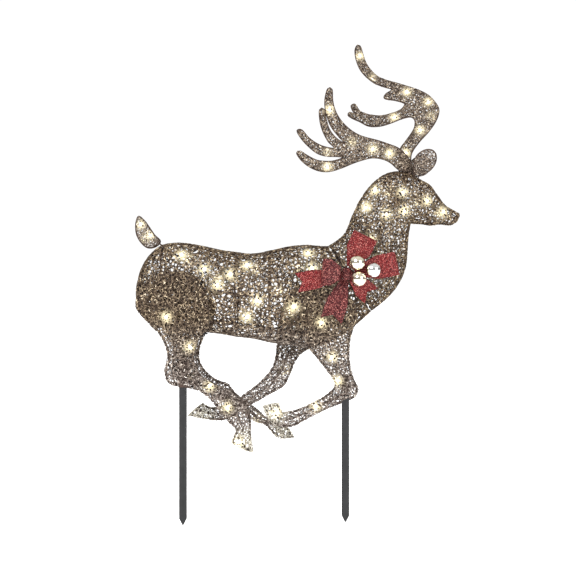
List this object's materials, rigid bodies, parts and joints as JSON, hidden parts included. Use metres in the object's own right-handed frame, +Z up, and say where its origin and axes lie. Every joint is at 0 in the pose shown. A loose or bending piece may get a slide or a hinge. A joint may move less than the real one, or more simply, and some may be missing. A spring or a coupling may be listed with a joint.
{
  "type": "light up yard reindeer",
  "caption": "Running wire-frame deer covered in glitter net with lamps inside, a ribbon bow at the neck and flat ground stakes; neck, antlers and tail plug in.",
  "frame": {"origin": "on the ground line, midway between the two stakes, in the deer's middle plane", "axes": "+X towards the nose, +Z up, -Y is the side that carries the bow"},
  "size_m": [0.7767, 0.2582, 1.1673],
  "materials": {
    "wire": "satin dark brown enamel",
    "net_brown": "random-thread glitter net, brown and gold",
    "net_legs": "random-thread glitter net, tan and silver, whitish hooves",
    "net_pale": "random-thread glitter net, silver and tan",
    "ball": "champagne mirror",
    "ribbon": "red glitter ribbon",
    "stake": "dark grey powder coat",
    "lead": "brown insulated lead and lamp holders",
    "inlet": "black moulded connector",
    "zinc": "zinc plated"
  },
  "bodies": {
    "torso": {"leg_bolt_front_far": "zinc", "leg_bolt_front_near": "zinc", "leg_bolt_hind_far": "zinc", "leg_bolt_hind_near": "zinc", "leg_cover_front_far": "net_legs", "leg_cover_front_near": "net_legs", "leg_cover_hind_far": "net_legs", "leg_cover_hind_near": "net_legs", "leg_frame_front_far": "wire", "leg_frame_front_near": "wire", "leg_frame_hind_far": "wire", "leg_frame_hind_near": "wire", "light_string_body": "lead", "neck_socket_lower": "wire", "neck_socket_upper": "wire", "power_inlet": "inlet", "stake_sleeve_front": "wire", "stake_sleeve_rear": "wire", "tail_socket": "wire", "torso_cover": "net_brown", "torso_frame": "wire", "wing_nut_front_far": "zinc", "wing_nut_front_near": "zinc", "wing_nut_hind_far": "zinc", "wing_nut_hind_near": "zinc"},
    "neck_head": {"antler_socket_far": "wire", "antler_socket_near": "wire", "bow_ball_lower_left": "ball", "bow_ball_right": "ball", "bow_ball_upper_left": "ball", "bow_knot": "ribbon", "bow_loop_left": "ribbon", "bow_loop_right": "ribbon", "bow_loop_upper": "ribbon", "bow_tail_left": "ribbon", "bow_tail_lower": "ribbon", "bow_tail_right": "ribbon", "ear_cover_far": "net_brown", "ear_cover_near": "net_brown", "ear_frame_far": "wire", "ear_frame_near": "wire", "light_string_neck_head": "lead", "neck_head_cover": "net_brown", "neck_head_frame": "wire"},
    "antler_near": {"antler_cover_near": "net_pale", "antler_frame_near": "wire", "light_string_antler_near": "lead"},
    "antler_far": {"antler_cover_far": "net_pale", "antler_frame_far": "wire", "light_string_antler_far": "lead"},
    "tail": {"light_string_tail": "lead", "tail_cover": "net_pale", "tail_frame": "wire"},
    "stake_rear": {"stake_rear": "stake"},
    "stake_front": {"stake_front": "stake"}
  },
  "joints": [
    {"name": "neck_pull", "type": "slide", "parent": "torso", "child": "neck_head", "axis": [0.8329, 0, 0.5535], "range_m": [0, 0.045]},
    {"name": "antler_near_pull", "type": "slide", "parent": "neck_head", "child": "antler_near", "axis": [0, -0.324, 0.946], "range_m": [0, 0.045]},
    {"name": "antler_far_pull", "type": "slide", "parent": "neck_head", "child": "antler_far", "axis": [0, 0.324, 0.946], "range_m": [0, 0.045]},
    {"name": "tail_pull", "type": "slide", "parent": "torso", "child": "tail", "axis": [-0.8, 0, 0.6], "range_m": [0, 0.06]},
    {"name": "stake_rear_pull", "type": "slide", "parent": "torso", "child": "stake_rear", "axis": [0, 0, -1], "range_m": [0, 0.06]},
    {"name": "stake_front_pull", "type": "slide", "parent": "torso", "child": "stake_front", "axis": [0, 0, -1], "range_m": [0, 0.042]}
  ]
}
